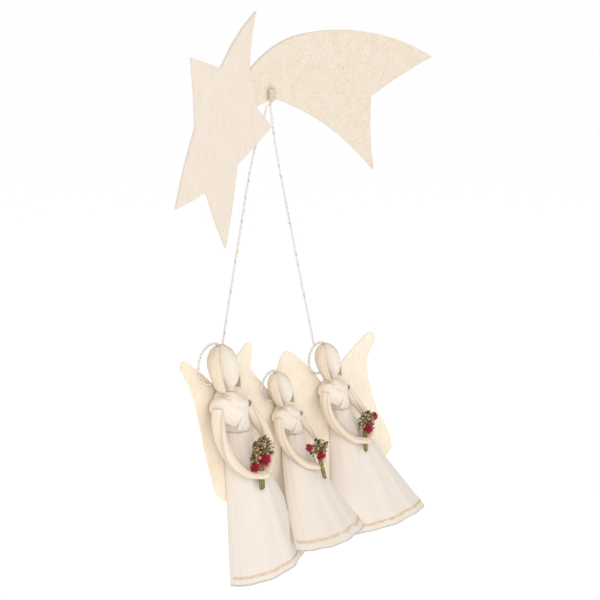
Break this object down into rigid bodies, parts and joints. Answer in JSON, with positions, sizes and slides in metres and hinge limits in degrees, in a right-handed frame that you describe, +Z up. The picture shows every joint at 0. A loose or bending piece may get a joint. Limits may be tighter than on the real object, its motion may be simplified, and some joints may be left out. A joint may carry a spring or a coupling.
{
  "type": "angel wall hanging",
  "caption": "Flat comet in glued husk that carries faceless husk angels on thin twisted cords, each with flat wings, a halo, a hollow skirt and a dried bouquet.",
  "frame": {"origin": "on the wall, at the mount on the flat back of the comet's tail, just above the knot of the cords", "axes": "+X to the right seen from the front, +Y into the wall, so the front looks along -Y, +Z up"},
  "size_m": [0.318, 0.0546, 0.4572],
  "materials": {
    "star_husk": "matt, fine upright fibres",
    "tail_husk": "matt, mottled with fibres and small dark flecks",
    "knot_thread": "twisted thread, gold and brown flecks",
    "silver_cord": "twisted white and silver thread with gold dashes",
    "wing_husk": "matt, mottled golden beige",
    "skirt_husk": "satin, fine lengthwise fibres",
    "gold_braid": "gold zigzag braid",
    "bodice_husk": "satin, fine fibres",
    "head_husk": "satin, pleated from the crown",
    "hair_husk": "satin strands",
    "halo_cord": "twisted silver thread",
    "sleeve_husk": "satin, twisted lengthwise fibres",
    "rose_petals": "dried petals, matt",
    "dried_greenery": "dried leaves and stems, matt"
  },
  "bodies": {
    "root": {"comet_star": "star_husk", "comet_tail": "tail_husk", "cord_knot": "knot_thread", "cord_left": "silver_cord", "cord_right": "silver_cord", "left_angel_wings": "wing_husk", "left_angel_skirt": "skirt_husk", "left_angel_hem_braid": "gold_braid", "left_angel_bodice": "bodice_husk", "left_angel_head": "head_husk", "left_angel_hair": "hair_husk", "left_angel_halo": "halo_cord", "left_angel_near_arm": "sleeve_husk", "left_angel_far_arm": "sleeve_husk", "left_angel_rose_main": "rose_petals", "left_angel_rose_small": "rose_petals", "left_angel_greenery": "dried_greenery", "middle_angel_wings": "wing_husk", "middle_angel_skirt": "skirt_husk", "middle_angel_hem_braid": "gold_braid", "middle_angel_bodice": "bodice_husk", "middle_angel_head": "head_husk", "middle_angel_hair": "hair_husk", "middle_angel_halo": "halo_cord", "middle_angel_near_arm": "sleeve_husk", "middle_angel_far_arm": "sleeve_husk", "middle_angel_rose_main": "rose_petals", "middle_angel_rose_small": "rose_petals", "middle_angel_greenery": "dried_greenery", "right_angel_wings": "wing_husk", "right_angel_skirt": "skirt_husk", "right_angel_hem_braid": "gold_braid", "right_angel_bodice": "bodice_husk", "right_angel_head": "head_husk", "right_angel_hair": "hair_husk", "right_angel_halo": "halo_cord", "right_angel_near_arm": "sleeve_husk", "right_angel_far_arm": "sleeve_husk", "right_angel_rose_main": "rose_petals", "right_angel_rose_small": "rose_petals", "right_angel_greenery": "dried_greenery"}
  },
  "joints": []
}
